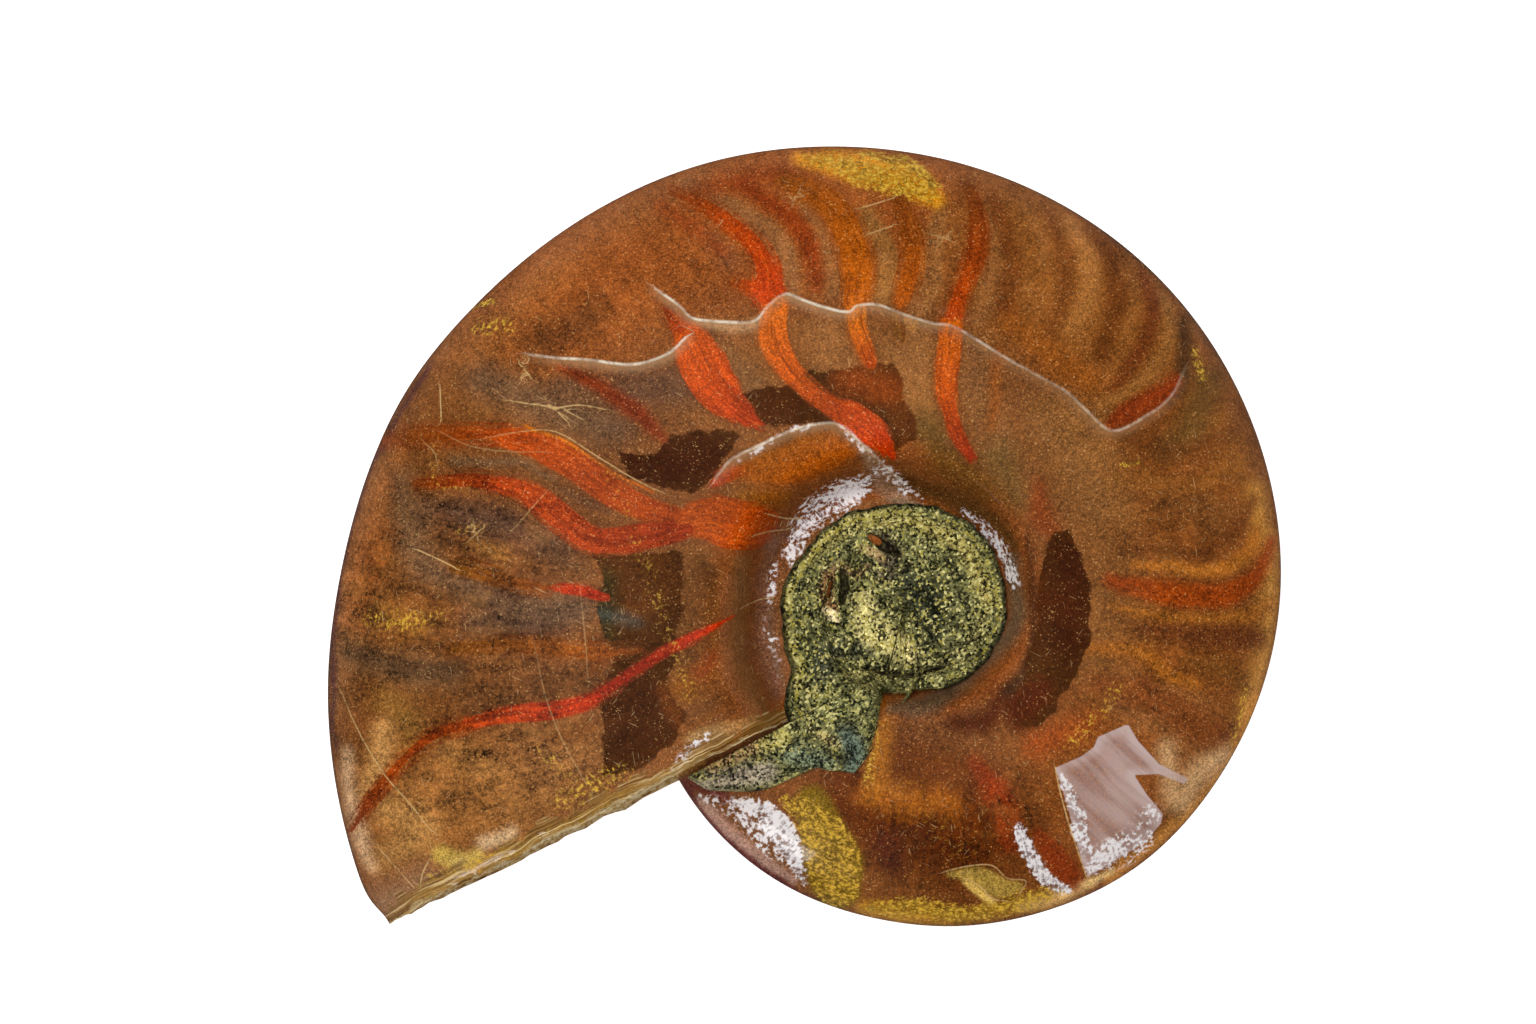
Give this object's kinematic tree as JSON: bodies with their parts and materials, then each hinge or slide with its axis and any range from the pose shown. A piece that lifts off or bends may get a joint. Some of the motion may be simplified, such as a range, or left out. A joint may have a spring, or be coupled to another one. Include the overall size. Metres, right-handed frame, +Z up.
{
  "type": "polished ammonite fossil",
  "caption": "Polished coiled ammonite fossil lying on its flank, with a narrow navel full of sandy matrix and a broken open lip.",
  "frame": {"origin": "on the ground, under the middle of the part's box", "axes": "+Z up from the ground, +X along the longest way across the coil, with the lip's corner at -X -Y"},
  "size_m": [0.0906, 0.0742, 0.0265],
  "materials": {
    "polished_shell": "mineralised shell, polished to a gloss",
    "sandy_matrix": "rough sandy sediment"
  },
  "bodies": {
    "root": {"shell": "polished_shell", "umbilicus_matrix_top": "sandy_matrix", "umbilicus_matrix_bottom": "sandy_matrix"}
  },
  "joints": []
}
